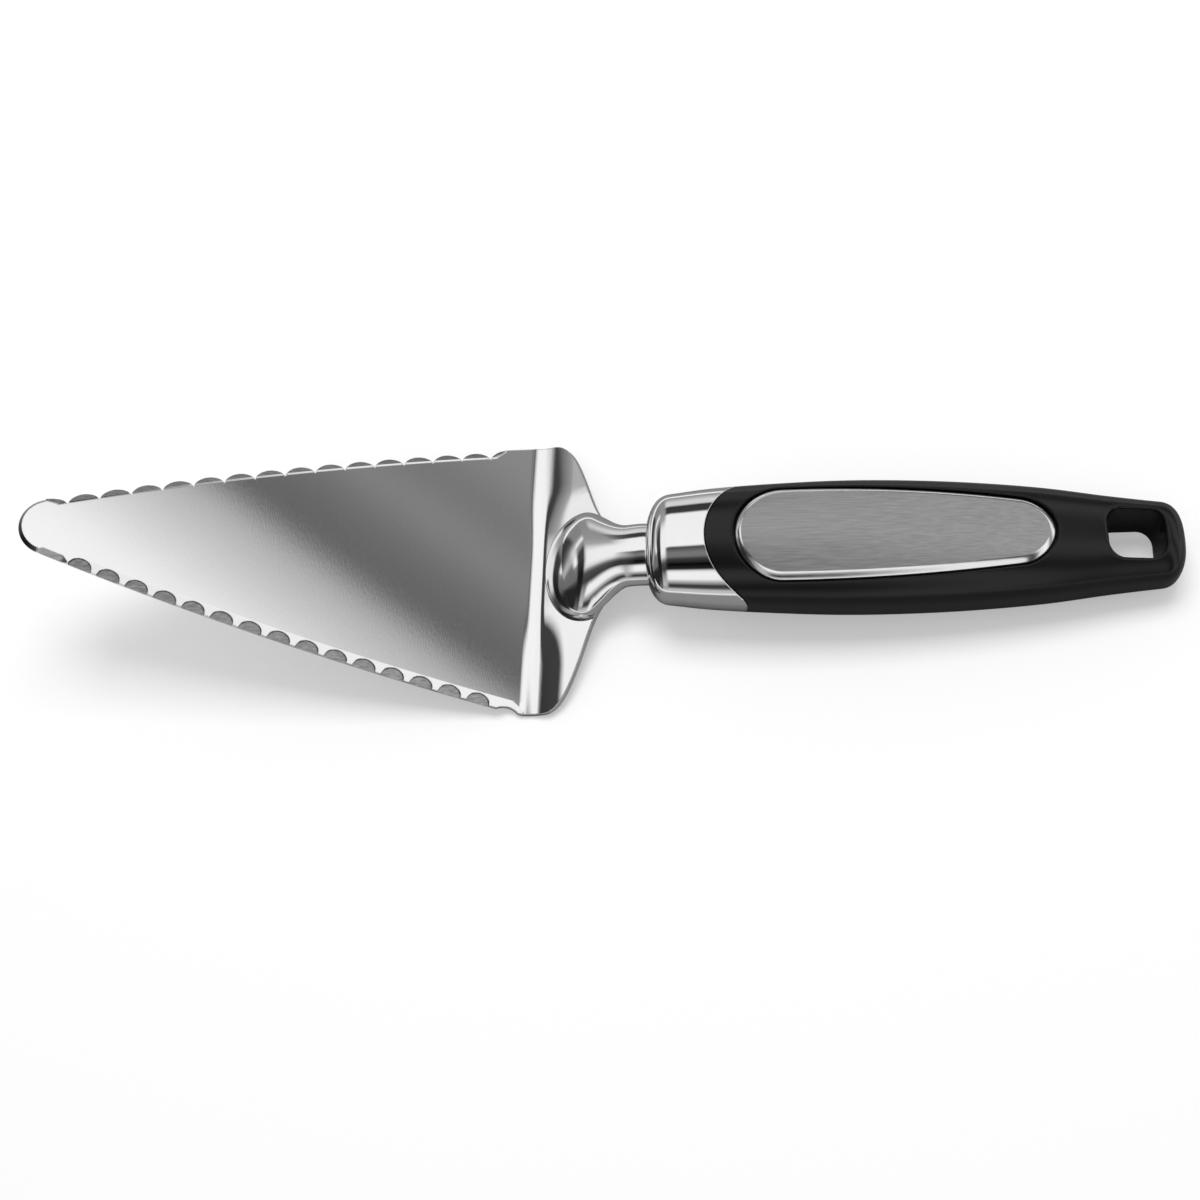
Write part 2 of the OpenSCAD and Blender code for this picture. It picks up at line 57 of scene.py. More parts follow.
FRONT_ROUND, BUTT_ROUND, JOINT_NOSE, JOINT_R = 6.0, 5.5, 13.8, 16.2
HOLE_LEN, HOLE_W, HOLE_R, HOLE_AT = 12.6, 12.0, 3.6, 103.6
INLAY_AT, INLAY_LEN, INLAY_FRONT, INLAY_BACK = 20.6, 71.6, 11.5, 7.0
INLAY_FRONT_ROUND, INLAY_BACK_ROUND, INLAY_T, PAD_T = 11.0, 7.5, 1.2, 0.4
INLAY_GAP, CROWN_R, ARCH_R, INLAY_TOP = 0.35, 36.0, 520.0, 10.75
CORE_HALF_W, CORE_UP, CORE_DOWN, CORE_R, CORE_END = 9.5, 4.6, 5.6, 2.5, 96.0
FERRULE_WALL, FIT_GAP, FILM_GAP, OVER = 2.4, 0.3, 0.1, 2.0
HANDLE_POWER, NECK_POWER, END_POWER = 2.6, 2.2, 2.5
WIDTH_SHARES = [0.80, 0.905, 0.965, 0.998, 0.985, 0.935, 0.845, 0.705, 0.60]
TOP_SHARES = [0.66, 0.83, 0.935, 0.99, 1, 0.97, 0.90, 0.79, 0.71]
UNDER_SHARES = [0.92, 0.97, 0.99, 0.985, 0.955, 0.90, 0.83, 0.755, 0.71]
CORNER_SHARE, WAIST_SHARE = 0.564, 0.667
CORNER_W_SHARE, WAIST_W_SHARE, WIDEST_SHARE = 0.507, 0.211, 0.22
PULL_SHARE, UNDER_POWER, GULLET_SHIFT_SHARE = 0.38, 0.6, 0.2
FERRULE_BACK_SHARE, GRIP_FRONT_SHARE = 0.16, 0.1

# area in square millimetres above which a face is shaded flat
LEVEL_AREA = 500.0

# edge roundings and grinding that only the looks have
HOLE_LIP, GROOVE_LIP, SHEET_LIP, SHEET_LIP_STEPS = 1.0, 0.45, 0.4, 4
LIP_REACH, LIP_STEPS, LIP_TURN = 1.2, 8, 80
NEAR_BEVEL, NEAR_DROP, FADE_STEPS = 2.55, 0.32, 4
FAR_GRIND, FAR_FACET, FAR_DROP = 1.8, 2.15, 0.36
SCALLOP_WALL, SCALLOP_FLARE, SCALLOP_SWELL, TIP_RIM = 0.40, 0.1, 0.15, 0.8

# turns in degrees by which neighbouring bevels overlap
TIP_LAP, EDGE_LAP = 1.0, 0.02

# points round the outlines, and steps along the curves
HANDLE_POINTS, HANDLE_STEP, FERRULE_STEP, END_STEPS = 168, 0.7, 0.6, 22
DISC_POINTS, OPENING_POINTS, GULLET_POINTS = 240, 120, 120
PLATE_POINTS, PLATE_STEPS, UNDER_STEPS, PLATE_RUNS = 300, 14, 6, 160
GROOVE_POINTS, GROOVE_STEPS, HOLE_POINTS, HOLE_CORNER = 260, 5, 150, 16
NECK_POINTS, FOOT_STEPS, NECK_STEPS, FOOT_STEP_POWER = 144, 44, 40, 2.2
LOBE_STEPS, TIP_SIDE_STEPS, HEEL_SIDE_STEPS, NEAR_STEPS = 14, 8, 12, 160
SHOULDER_STEPS, TIP_STEPS, SCALLOP_STEPS = 48, 64, 20
NEAR_TIP_CUTS, GRIND_CUTS, FACET_CUTS, NEAR_CUTS = 16, 120, 119, 97

DECK = SHEET_T / 2
BEND_SET = BEND_R * math.tan(math.radians(SHOULDER_ANGLE / 2))
BEND_RUN = BEND_R * math.radians(SHOULDER_ANGLE)
HANDLE_RISE = BLADE_TILT - HANDLE_FALL
JOINT_X = JOINT_NOSE + JOINT_R


def cosd(a):
    return math.cos(math.radians(a))


def sind(a):
    return math.sin(math.radians(a))


REST_LIFT = BEND_R + DECK - BEND_R * cosd(BLADE_TILT) - BEND_SET * sind(BLADE_TILT)
REST_MID = (
    HANDLE_X
    + HANDLE_LEN * cosd(HANDLE_FALL)
    - BLADE_LEN * cosd(BLADE_TILT)
    - DECK * sind(BLADE_TILT)
) / 2
AT_REST = Matrix.Translation((-REST_MID, 0, REST_LIFT))
IN_BLADE = AT_REST @ Matrix.Rotation(math.radians(BLADE_TILT), 4, "Y")
IN_HANDLE = (
    AT_REST
    @ Matrix.Translation((HANDLE_X, 0, HANDLE_Z))
    @ Matrix.Rotation(math.radians(HANDLE_FALL), 4, "Y")
)


# Mesh tools, all in millimetres until a piece is placed


def share_at(shares, t):
    """Smooth curve through equally spaced shares."""
    n = len(shares) - 1
    i = min(n - 1, max(0, int(t * n)))
    f = t * n - i
    a, b, c, d = shares[max(0, i - 1)], shares[i], shares[i + 1], shares[min(n, i + 2)]
    square, cube = 2 * a - 5 * b + 4 * c - d, 3 * b - a - 3 * c + d
    return b + f * ((c - a) + f * (square + f * cube)) / 2


def raw(name, points, faces):
    mesh = bpy.data.meshes.new(name)
    mesh.from_pydata(points, [], faces)
    obj = bpy.data.objects.new(name, mesh)
    bpy.context.scene.collection.objects.link(obj)
    return obj


def loft(name, rings):
    """Closed solid through rings of equal count; a ring of one point closes an end."""
    points, faces, starts = [], [], []
    for ring in rings:
        starts.append(len(points))
        points += [tuple(p) for p in ring]
    n = max(len(r) for r in rings)
    for j in range(len(rings) - 1):
        a, b = starts[j], starts[j + 1]
        for i in range(n):
            k = (i + 1) % n
            if len(rings[j]) == 1:
                faces.append((a, b + k, b + i))
            elif len(rings[j + 1]) == 1:
                faces.append((a + i, a + k, b))
            else:
                faces.append((a + i, a + k, b + k, b + i))
    if len(rings[0]) > 1:
        faces.append(tuple(reversed(range(starts[0], starts[0] + n))))
    if len(rings[-1]) > 1:
        faces.append(tuple(range(starts[-1], starts[-1] + n)))
    obj = raw(name, points, faces)
    outward(obj)
    return obj


def outward(obj):
    bm = bmesh.new()
    bm.from_mesh(obj.data)
    bmesh.ops.recalc_face_normals(bm, faces=bm.faces)
    bm.to_mesh(obj.data)
    bm.free()


def prism(name, outline, low, high):
    return loft(name, [[(x, y, z) for x, y in outline] for z in (low, high)])


def cut(obj, cutter):
    """Takes the cutter out of the piece and deletes it."""
    step = obj.modifiers.new("cut", "BOOLEAN")
    step.operation = "DIFFERENCE"
    step.solver = "EXACT"
    step.object = cutter
    graph = bpy.context.evaluated_depsgraph_get()
    made = bpy.data.meshes.new_from_object(obj.evaluated_get(graph))
    obj.modifiers.clear()
    obj.data = made
    bpy.data.objects.remove(cutter)


def place(obj, where, materials, crease, pick=None):
    """Moves a finished mesh to its place in metres and shades it up to a crease angle.

    The number that pick gives for a face says which of the materials it gets."""
    polygons = obj.data.polygons
    marks = [int(pick(p)) if pick else 0 for p in polygons]
    level = [p.area > LEVEL_AREA for p in polygons]
    obj.data.transform(Matrix.Scale(MM, 4) @ where)
    obj.data.materials.clear()
    for m in materials:
        obj.data.materials.append(m)
    obj.data.set_sharp_from_angle(angle=math.radians(crease))
    for p, mark, flat in zip(polygons, marks, level):
        p.material_index = mark
        p.use_smooth = not flat
    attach(obj, "root")
    return obj


def oval(a, up, down, power, turn):
    """Point of a squarish round section, as across and up."""
    c, s = cosd(turn), sind(turn)
    g = (abs(c) ** power + abs(s) ** power) ** (-1 / power)
    return a * c * g, (up if s > 0 else down) * s * g


def circle(x, y, r, count):
    turns = [360 * i / count for i in range(count)]
    return [(x + r * cosd(w), y + r * sind(w)) for w in turns]


def bezier(points, t):
    """Point at t on the plane curve that four points pull."""
    shares = [(1 - t) ** 3, 3 * t * (1 - t) ** 2, 3 * t * t * (1 - t), t**3]
    return tuple(sum(k * p[j] for k, p in zip(shares, points)) for j in (0, 1))


def round_rect(low, high, r, steps=10):
    corners = [(high[0] - r, high[1] - r, 0), (low[0] + r, high[1] - r, 90)]
    corners += [(low[0] + r, low[1] + r, 180), (high[0] - r, low[1] + r, 270)]
    return [
        (x + r * cosd(w + 90 * k / steps), y + r * sind(w + 90 * k / steps))
        for x, y, w in corners
        for k in range(steps + 1)
    ]


def even(outline, count):
    """The same closed outline with points at equal distances."""
    runs = [0.0]
    closed = outline + outline[:1]
    for p, q in zip(closed, closed[1:]):
        runs.append(runs[-1] + math.dist(p, q))
    out, j = [], 0
    for i in range(count):
        d = runs[-1] * i / count
        while runs[j + 1] < d:
            j += 1
        f = (d - runs[j]) / max(1e-9, runs[j + 1] - runs[j])
        p, q = closed[j], closed[j + 1]
        out.append((p[0] + (q[0] - p[0]) * f, p[1] + (q[1] - p[1]) * f))
    return out


def grown(outline, d):
    """Outline moved outward by d along its own normals; the outline runs counter-clockwise."""
    n = len(outline)
    out = []
    for i in range(n):
        p, q = outline[i - 1], outline[(i + 1) % n]
        dx, dy = q[0] - p[0], q[1] - p[1]
        run = math.hypot(dx, dy)
        out.append((outline[i][0] + d * dy / run, outline[i][1] - d * dx / run))
    return out


# Handle shape: u along, v across, w up


def end_at(u):
    a = max(0.0, 1 - u / FRONT_ROUND)
    b = max(0.0, 1 - (HANDLE_LEN - u) / BUTT_ROUND)
    front = max(0.0, 1 - a**END_POWER) ** (1 / END_POWER)
    return front * max(0.0, 1 - b**END_POWER) ** (1 / END_POWER)


def handle_size(u):
    t, e = u / HANDLE_LEN, end_at(u)
    return (
        HANDLE_HALF_W * share_at(WIDTH_SHARES, t) * e,
        HANDLE_TOP * share_at(TOP_SHARES, t) * e,
        HANDLE_UNDER * share_at(UNDER_SHARES, t) * e,
    )


def handle_height(u, v, top=True):
    half, up, down = handle_size(u)
    rest = max(0.0, 1 - abs(v / half) ** HANDLE_POWER) ** (1 / HANDLE_POWER)
    return up * rest if top else -down * rest


def handle_ring(u):
    half, up, down = handle_size(u)
    turns = [360 * i / HANDLE_POINTS for i in range(HANDLE_POINTS)]
    return [(u, *oval(half, up, down, HANDLE_POWER, w)) for w in turns]


def round_stops(length, steps):
    """Distances from a rounded end, at equal turns of its curve, without the very end."""
    turns = [90 - 90 * k / steps for k in range(1, steps + 1)]
    return [length * (1 - sind(w) ** (2 / END_POWER)) for w in turns]


def spread(low, high, step):
    n = max(1, round((high - low) / step))
    return [low + (high - low) * i / n for i in range(n + 1)]


def body(name, front, back, step):
    """Piece of the handle's shape, closed to a point where it reaches the handle's end."""
    nose, tail, stops, end = [], [], [], []
    if front == 0:
        nose = [[(0, 0, 0)]]
        stops = round_stops(FRONT_ROUND, END_STEPS)
        front = FRONT_ROUND + step
    if back == HANDLE_LEN:
        tail = [[(HANDLE_LEN, 0, 0)]]
        end = [HANDLE_LEN - d for d in reversed(round_stops(BUTT_ROUND, END_STEPS))]
        back = HANDLE_LEN - BUTT_ROUND - step
    stops = stops + spread(front, back, step) + end
    return loft(name, nose + [handle_ring(u) for u in stops] + tail)


def disc(gap):
    outline = circle(JOINT_X, 0, JOINT_R - gap, DISC_POINTS)
    return prism("disc", outline, -2 * HANDLE_TOP, 2 * HANDLE_TOP)


def core_bar(front, back, gap):
    low, high = (-CORE_HALF_W - gap, -CORE_DOWN - gap), (CORE_HALF_W + gap, CORE_UP + gap)
    outline = round_rect(low, high, CORE_R)
    return loft("bar", [[(u, v, w) for v, w in outline] for u in (front, back)])


def lip_cutter(outline, r, floor=None):
    """Upright cutter whose sides flare out in a rounding where they meet the handle.

    The rounding has the radius r. The cutter starts at the floor's rings, and without
    a floor it goes right through."""

    def flare(top):
        up = 1 if top else -1

        def lifted(line, lift):
            return [(u, v, handle_height(u, v, top) + up * lift) for u, v in line]

        out = []
        for k in range(LIP_STEPS + 1):
            w = LIP_TURN * k / LIP_STEPS
            out.append(lifted(grown(outline, r * (1 - cosd(w))), -r * (1 - sind(w))))
        wide = grown(outline, r * (1 - cosd(LIP_TURN)) + LIP_REACH * sind(LIP_TURN))
        out.append(lifted(wide, LIP_REACH * cosd(LIP_TURN) - r * (1 - sind(LIP_TURN))))
        out.append([(u, v, up * 2 * HANDLE_TOP) for u, v in wide])
        return out

    return loft("cutter", (floor or list(reversed(flare(False)))) + flare(True))


# Inlay plate


def inlay_half(q):
    a = max(0.0, 1 - q / INLAY_FRONT_ROUND)
    b = max(0.0, 1 - (INLAY_LEN - q) / INLAY_BACK_ROUND)
    swell = ((q / INLAY_LEN - WIDEST_SHARE) / (1 - WIDEST_SHARE)) ** 2
    wide = INLAY_FRONT - (INLAY_FRONT - INLAY_BACK) * swell
    return wide * math.sqrt(max(0.0, 1 - a * a)) * math.sqrt(max(0.0, 1 - b * b))


def inlay_outline(count):
    turns = [180 * i / PLATE_RUNS for i in range(PLATE_RUNS + 1)]
    runs = [INLAY_LEN * (1 - cosd(w)) / 2 for w in turns]
    near = [(INLAY_AT + q, -inlay_half(q)) for q in runs]
    far = [(INLAY_AT + q, inlay_half(q)) for q in reversed(runs[1:-1])]
    return even(near + far, count)


def crown(u, v, lift):
    out = ARCH_R - CROWN_R + math.sqrt((CROWN_R + lift) ** 2 - v * v)
    return INLAY_TOP - ARCH_R + math.sqrt(out * out - (u - INLAY_AT - INLAY_LEN / 2) ** 2)


def shrunk(outline, share):
    mid = INLAY_AT + INLAY_LEN / 2
    return [(mid + (u - mid) * share, v * share) for u, v in outline]


def dome(outline, lift, steps):
    """Rings from near the middle out to the outline, on the crown surface."""
    mid = INLAY_AT + INLAY_LEN / 2
    rings = [[(mid, 0, crown(mid, 0, lift))]]
    for k in range(1, steps + 1):
        rings.append([(u, v, crown(u, v, lift)) for u, v in shrunk(outline, k / steps)])
    return rings


# way in from the edge of the plate, and how far its rim is tilted there
PLATE_RIM = [
    (0.0, 75), (0.12, 58), (0.3, 40), (0.6, 30), (0.95, 24), (1.25, 17), (1.55, 8), (1.9, 0),
]
# how far below the crown a face counts as part of the rim
RIM_SINK = 0.02


def plate_mesh():
    outline = inlay_outline(PLATE_POINTS)
    depth, rim = 0.0, []
    for (way, tilt), (end, last) in reversed(list(zip(PLATE_RIM, PLATE_RIM[1:]))):
        depth -= (end - way) * math.tan(math.radians((tilt + last) / 2))
        rim.append([(u, v, crown(u, v, depth)) for u, v in grown(outline, -way)])
    top = dome(grown(outline, -PLATE_RIM[-1][0]), 0, PLATE_STEPS)
    under = dome(outline, -INLAY_T, UNDER_STEPS)
    return loft("inlay_face", under + list(reversed(rim)) + list(reversed(top)))


def on_plate_rim(p):
    return p.center.z < crown(p.center.x, p.center.y, 0) - RIM_SINK


# Blade outline


def blade_numbers():
    tip_x = TIP_R - BLADE_LEN
    reach = BOW_R - TIP_R
    heel = math.hypot(tip_x, HEEL_W / 2)
    side = (reach**2 - BOW_R**2 + heel**2) / (2 * heel)
    up = math.sqrt(reach**2 - side**2)
    tx, ty = -tip_x / heel, HEEL_W / 2 / heel
    cx = tip_x + tx * side + ty * up
    cy = ty * side - tx * up
    tip_dir = math.degrees(math.atan2(-cy, tip_x - cx))
    heel_dir = math.degrees(math.acos((-BEND_SET - cx) / BOW_R))
    return tip_x, cx, cy, tip_dir, heel_dir


TIP_X, EDGE_CX, EDGE_CY, TIP_DIR, HEEL_DIR = blade_numbers()
LOBE_R = ((LOBE_PITCH / 2) ** 2 + LOBE_DEPTH**2) / (2 * LOBE_DEPTH)
LOBE_TURN = math.degrees(LOBE_PITCH / BOW_R)
SCALLOP_TURN = math.degrees(SCALLOP_PITCH / BOW_R)
FIRST_LOBE = TIP_DIR - (math.degrees(LOBE_START / BOW_R) - LOBE_TURN / 2)
LAST_LOBE = FIRST_LOBE - LOBE_NOTCHES * LOBE_TURN
LOBE_HALF = math.degrees(math.asin(LOBE_PITCH / 2 / LOBE_R))
FIRST_SCALLOP = TIP_DIR - math.degrees(SCALLOP_START / BOW_R)
HALF_FLAT = (SCALLOP_TURN - math.degrees(SCALLOP_W / BOW_R)) / 2
BEND_HALF = EDGE_CY + BOW_R * sind(HEEL_DIR)
SCALLOP_DEEP = SHEET_T - RIM_T
TIP_ARC = 360 - 2 * TIP_DIR


def on_edge(r, turn):
    return EDGE_CX + r * cosd(turn), EDGE_CY + r * sind(turn)


def edge_run(start, end, steps):
    """Points along the plain edge between two turns."""
    return [on_edge(BOW_R, start + (end - start) * k / steps) for k in range(steps + 1)]


def lobe(turn, start, end):
    x, y = on_edge(BOW_R - LOBE_R, turn)
    turns = [turn + start + (end - start) * k / LOBE_STEPS for k in range(1, LOBE_STEPS + 1)]
    return [(x + LOBE_R * cosd(w), y + LOBE_R * sind(w)) for w in turns]


def shoulder_side():
    """Outline of the unrolled shoulder from the heel to its tail, as run and half width."""
    p = [
        (BEND_SET, BEND_HALF),
        (SHOULDER_LEN * CORNER_SHARE, HEEL_W * CORNER_W_SHARE),
        (SHOULDER_LEN * WAIST_SHARE, HEEL_W * WAIST_W_SHARE),
        (SHOULDER_LEN, SHOULDER_TAIL),
    ]
    curve = [bezier(p, i / SHOULDER_STEPS) for i in range(SHOULDER_STEPS + 1)]
    return [(x - 2 * BEND_SET + BEND_RUN, y) for x, y in curve]


def sheet_outline():
    far = edge_run(TIP_DIR, FIRST_LOBE, TIP_SIDE_STEPS) + lobe(FIRST_LOBE, 0, -LOBE_HALF)
    for i in range(1, LOBE_NOTCHES):
        far += lobe(FIRST_LOBE - i * LOBE_TURN, LOBE_HALF, -LOBE_HALF)
    far += lobe(LAST_LOBE, LOBE_HALF, 0) + edge_run(LAST_LOBE, HEEL_DIR, HEEL_SIDE_STEPS)[1:]
    near = edge_run(TIP_DIR, HEEL_DIR, NEAR_STEPS)
    side = shoulder_side()
    turns = [-TIP_DIR - TIP_ARC * k / TIP_STEPS for k in range(1, TIP_STEPS)]
    tip = [(TIP_X + TIP_R * cosd(w), TIP_R * sind(w)) for w in turns]
    tail = [(x, -y) for x, y in reversed(side)]
    flipped = [(x, -y) for x, y in reversed(near)]
    points = far + side[1:] + tail[:-1] + flipped + tip
    return list(reversed(points))


def bevel_ring(centre, r, width, start, turn, steps, drop=SHEET_T - RIM_T, fade=1):
    """Cutter for a bevel along an arc, which narrows in its first and last steps."""
    rings = []
    for k in range(steps + 1):
        w = start + turn * k / steps
        wide = width * min(1.0, (k + 1) / fade, (steps - k + 1) / fade)
        section = [
            (r - wide, DECK),
            (r + OVER, DECK - drop * (wide + OVER) / width),
            (r + OVER, DECK + OVER),
            (r - wide, DECK + OVER),
        ]
        c, s = cosd(w), sind(w)
        rings.append([(centre[0] + q * c, centre[1] + q * s, z) for q, z in section])
    return loft("ring", rings)


def scallop_cutter(i):
    """Cutter for one hollow, with a steep wall and a floor that falls to the edge."""
    turn = -FIRST_SCALLOP - HALF_FLAT + (i + 0.5) * SCALLOP_TURN
    where = (
        Matrix.Translation((EDGE_CX, -EDGE_CY, 0))
        @ Matrix.Rotation(math.radians(turn), 4, "Z")
        @ Matrix.Translation((BOW_R, 0, 0))
    )
    slant = (SCALLOP_DEEP - SCALLOP_WALL) / SCALLOP_REACH

    def ring(less, heights):
        half, reach = SCALLOP_W / 2 + SCALLOP_SWELL - less, SCALLOP_REACH - less
        turns = [180 * k / SCALLOP_STEPS for k in range(SCALLOP_STEPS + 1)]
        outline = [(-reach * sind(w), half * cosd(w)) for w in turns]
        outline += [(OVER, -half), (OVER, half)]
        return [tuple(where @ Vector((q, u, heights(q)))) for q, u in outline]

    floor = ring(SCALLOP_FLARE, lambda q: DECK - SCALLOP_DEEP - slant * q)
    return loft("scallop", [floor, ring(0, lambda q: DECK), ring(0, lambda q: DECK + OVER)])


# turn of the sheet along the unrolled bend: plain near the foot, drawn out toward the two ends
PLAIN_TURN = [(0.0, 0.0), (1.0, 1.0)]
DRAWN_TURN = [(-0.2, 0.0), (0.82, 0.74), (2.4, 1.0)]
FOLD_STEP, FOLD_LOW, FOLD_HIGH = 0.05, -1.5, 14.0
# half width at which the drawn turn starts to take over, and the width in which it does
DRAWN_FROM, DRAWN_OVER = 7.0, 16.0


def turn_at(table, p):
    if p <= table[0][0]:
        return 0.0
    for (a, x), (b, y) in zip(table, table[1:]):
        if p < b:
            return x + (y - x) * (p - a) / (b - a)
    return 1.0


def fold_line(table):
    """Middle line of the bent sheet, as points with their slope, at equal steps."""
    x, z, out = -BEND_SET + FOLD_LOW, 0.0, []
    for k in range(int((FOLD_HIGH - FOLD_LOW) / FOLD_STEP) + 1):
        run = FOLD_LOW + k * FOLD_STEP
        slope = SHOULDER_ANGLE * turn_at(table, run / BEND_RUN)
        out.append((x, z, slope))
        half = SHOULDER_ANGLE * turn_at(table, (run + FOLD_STEP / 2) / BEND_RUN)
        x, z = x + FOLD_STEP * cosd(half), z + FOLD_STEP * sind(half)
    return out


def folded(lines, x, y, z):
    """Where a point of the flat sheet comes to lie on the bent one."""
    run = x + BEND_SET
    if run <= FOLD_LOW:
        return x, y, z
    side = min(1.0, max(0.0, (abs(y) - DRAWN_FROM) / DRAWN_OVER))
    side = side * side * (3 - 2 * side)
    out = []
    for line in lines:
        k = min(len(line) - 1.001, (run - FOLD_LOW) / FOLD_STEP)
        i = int(k)
        f = k - i
        a, b = line[i], line[min(i + 1, len(line) - 1)]
        mid = [a[j] + (b[j] - a[j]) * f for j in range(3)]
        more = run - FOLD_LOW - (len(line) - 1) * FOLD_STEP
        if more > 0:
            mid[0] += more * cosd(mid[2])
            mid[1] += more * sind(mid[2])
        out.append((mid[0] - z * sind(mid[2]), mid[1] + z * cosd(mid[2])))
    plain, drawn = out
    x, z = (p + (d - p) * side for p, d in zip(plain, drawn))
    return x, y, z


# where the flat part of the blade ends, and from where on its edges are rounded
FLAT_END, LIP_FROM = -BEND_SET - 1.0, -BEND_SET - 2.5
# the sheet is divided across in these runs from the bend, and along in these widths
BEND_RUNS, BEND_WIDTHS = (-0.8, 11.0, 0.22), (-34.0, 34.0, 2.0)
# distances at which points count as one, edges as too short, and points as on a plane
SAME_POINT, SHORT_EDGE, ON_PLANE, LEVEL_EDGE = 0.003, 0.001, 1e-5, 1e-6
# upward part of the normal: ground faces lie between the outer two, walls below the middle
STEEP, WALL, LEVEL = 0.05, 0.3, 0.98


def round_rims(bm):
    """Rounds the edges of the sheet from just before the bend on."""
    rims = []
    for e in bm.edges:
        p, q = (v.co for v in e.verts)
        if min(p.x, q.x) > LIP_FROM and abs(p.z - q.z) < LEVEL_EDGE:
            rims.append(e)
    bmesh.ops.bevel(
        bm, geom=rims, offset=SHEET_LIP, segments=SHEET_LIP_STEPS, profile=0.5,
        affect="EDGES", clamp_overlap=True,
    )


def grind(obj):
    """Cuts the bevels, the hollows and the notch at the heel into the flat sheet."""
    tip, far, near = (TIP_X, 0), (EDGE_CX, EDGE_CY), (EDGE_CX, -EDGE_CY)
    start, turn = TIP_DIR - TIP_LAP, TIP_ARC + 2 * TIP_LAP
    cut(obj, bevel_ring(tip, TIP_R, TIP_RIM, start, turn, TIP_STEPS))
    start, turn = -TIP_DIR - EDGE_LAP, TIP_DIR - FIRST_SCALLOP - HALF_FLAT / 2 + EDGE_LAP
    cut(obj, bevel_ring(near, BOW_R, TIP_BEVEL, start, turn, NEAR_TIP_CUTS, fade=FADE_STEPS))
    start, turn = LAST_LOBE - EDGE_LAP, TIP_DIR - LAST_LOBE + 2 * EDGE_LAP
    cut(obj, bevel_ring(far, BOW_R, FAR_GRIND, start, turn, GRIND_CUTS, fade=FADE_STEPS))
    start -= EDGE_LAP
    cut(obj, bevel_ring(far, BOW_R, FAR_FACET, start, turn, FACET_CUTS, FAR_DROP, FADE_STEPS))
    for i in range(SCALLOP_COUNT):
        cut(obj, scallop_cutter(i))
    start = HALF_FLAT / 2 - FIRST_SCALLOP
    turn = EDGE_LAP - HEEL_DIR - start
    cut(obj, bevel_ring(near, BOW_R, NEAR_BEVEL, start, turn, NEAR_CUTS, NEAR_DROP, FADE_STEPS))
    x = -BEND_SET - GULLET_R
    y = GULLET_DEPTH + GULLET_R * (GULLET_SHIFT_SHARE - 1) - HEEL_W / 2
    cut(obj, prism("gullet", circle(x, y, GULLET_R, GULLET_POINTS), -OVER, OVER))


def divide(bm):
    """Divides the sheet where it bends, and the shoulder in squares, so that it can curve."""
    for run in spread(*BEND_RUNS):
        whole, at = bm.verts[:] + bm.edges[:] + bm.faces[:], (-BEND_SET + run, 0, 0)
        bmesh.ops.bisect_plane(bm, geom=whole, plane_co=at, plane_no=(1, 0, 0), dist=ON_PLANE)
    for y in spread(*BEND_WIDTHS):
        faces = [f for f in bm.faces if f.calc_center_median().x > FLAT_END]
        edges = list({e for f in faces for e in f.edges})
        part, at = list({v for f in faces for v in f.verts}) + edges + faces, (0, y, 0)
        bmesh.ops.bisect_plane(bm, geom=part, plane_co=at, plane_no=(0, 1, 0), dist=ON_PLANE)


def blade_mesh():
    obj = prism("blade_sheet", sheet_outline(), -DECK, DECK)
    bm = bmesh.new()
    bm.from_mesh(obj.data)
    round_rims(bm)
    bm.to_mesh(obj.data)
    bm.free()
    grind(obj)
    bm = bmesh.new()
    bm.from_mesh(obj.data)
    bmesh.ops.remove_doubles(bm, verts=bm.verts, dist=SAME_POINT)
    bmesh.ops.dissolve_degenerate(bm, edges=bm.edges, dist=SHORT_EDGE)
    divide(bm)
    lines = [fold_line(PLAIN_TURN), fold_line(DRAWN_TURN)]
    for v in bm.verts:
        v.co = Vector(folded(lines, *v.co))
    bm.to_mesh(obj.data)
    bm.free()
    return obj


def blade_part(p):
    """0 for polished faces, 1 and 2 for the ground near and far edges, 3 for painted shade.

    The near edge is painted lighter and the far edge darker, as painted light and shade;
    the painted shade goes on the edge round the tip and on the walls of the hollows."""
    if p.center.x > FLAT_END or not STEEP < p.normal.z < LEVEL:
        return 0
    if p.normal.z < WALL or p.center.x < TIP_X + TIP_R * cosd(TIP_DIR):
        return 3
    return 1 if p.center.y < 0 else 2


# Neck


def rise(q, run):
    return math.sqrt(1 - (1 - min(1.0, q / run)) ** 2)


def fall(q, run):
    return (1 + cosd(180 * min(1.0, max(0.0, q - run) / FOOT_FADE))) / 2


def neck_size(q):
    """Half width and height of the neck at distance q from the nose of its foot."""
    high = FOOT_SINK + FOOT_H
    wide = FOOT_HALF_W * rise(q, FOOT_WIDE_AT)
    if q >= FOOT_WIDE_AT:
        wide = NECK_HALF_W + (FOOT_HALF_W - NECK_HALF_W) * fall(q, FOOT_WIDE_AT)
    if q < FOOT_HIGH_AT:
        return wide, high * rise(q, FOOT_HIGH_AT)
    return wide, NECK_HALF_H + (high - NECK_HALF_H) * fall(q, FOOT_HIGH_AT)


